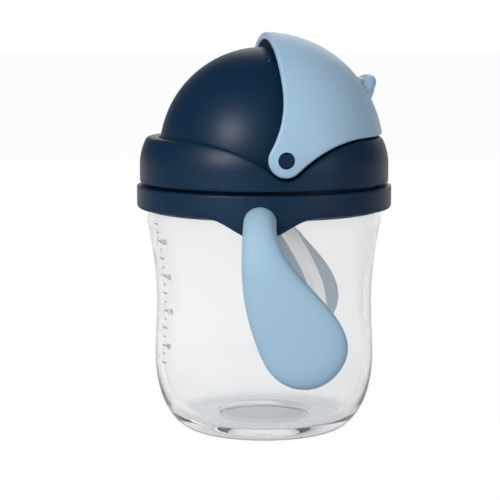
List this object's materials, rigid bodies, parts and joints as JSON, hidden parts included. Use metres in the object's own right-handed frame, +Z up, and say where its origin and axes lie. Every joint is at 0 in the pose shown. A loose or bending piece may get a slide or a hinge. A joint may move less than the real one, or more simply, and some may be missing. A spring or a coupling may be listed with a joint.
{
  "type": "sippy cup",
  "caption": "Clear toddler's training cup with two drooping grips on a loose ring, a domed screw lid under a hinged cover, a folding soft spout and a weighted straw.",
  "frame": {"origin": "on the table under the middle of the cup's round foot", "axes": "+Z up along the cup's axis, +X towards the drinking side, the two grips on +Y (left) and -Y (right)"},
  "size_m": [0.084, 0.1172, 0.1312],
  "materials": {
    "clear_plastic": "clear, polished, colourless copolyester",
    "navy_plastic": "fine moulded satin, navy blue polypropylene",
    "blue_plastic": "fine moulded satin, pale blue polypropylene",
    "grip_rubber": "fine matte texture, pale blue soft-touch rubber",
    "silicone": "milky translucent silicone",
    "straw_fittings": "frosted, smooth polypropylene",
    "weight_steel": "turned, brushed stainless steel"
  },
  "bodies": {
    "cup": {"cup_body": "clear_plastic"},
    "handles": {"handle_ring": "navy_plastic", "left_grip": "grip_rubber", "right_grip": "grip_rubber"},
    "seal": {"lid_gasket": "silicone"},
    "lid": {"lid_collar": "navy_plastic", "lid_dome": "navy_plastic", "spout_base": "silicone", "vent_valve": "silicone", "straw_connector": "straw_fittings", "straw_tube": "silicone", "weight_cap": "straw_fittings", "weight_core": "weight_steel", "weight_base": "straw_fittings"},
    "cover": {"flip_cover": "blue_plastic"},
    "spout": {"spout_tip": "silicone"}
  },
  "joints": [
    {"name": "handle_turn", "type": "hinge", "parent": "cup", "child": "handles", "pos_m": [0, 0, 0.077], "axis": [0, 0, 1], "continuous": true},
    {"name": "lid_lift", "type": "slide", "parent": "cup", "child": "seal", "axis": [0, 0, 1], "range_m": [0, 0.008]},
    {"name": "lid_unscrew", "type": "hinge", "parent": "seal", "child": "lid", "pos_m": [0, 0, 0.083], "axis": [0, 0, 1], "range_deg": [0, 360]},
    {"name": "cover_open", "type": "hinge", "parent": "lid", "child": "cover", "pos_m": [0, 0, 0.0919], "axis": [0.2079, -0.9781, 0], "range_deg": [0, 76]},
    {"name": "spout_flip", "type": "hinge", "parent": "lid", "child": "spout", "pos_m": [0.008, 0.0017, 0.11599], "axis": [0.2079, -0.9781, 0], "range_deg": [0, 83.6]}
  ],
  "couplings": [
    {"joint": "lid_lift", "follows": "lid_unscrew", "m_per_rad": 0.0012732},
    {"joint": "spout_flip", "follows": "cover_open", "ratio": 1.1}
  ]
}
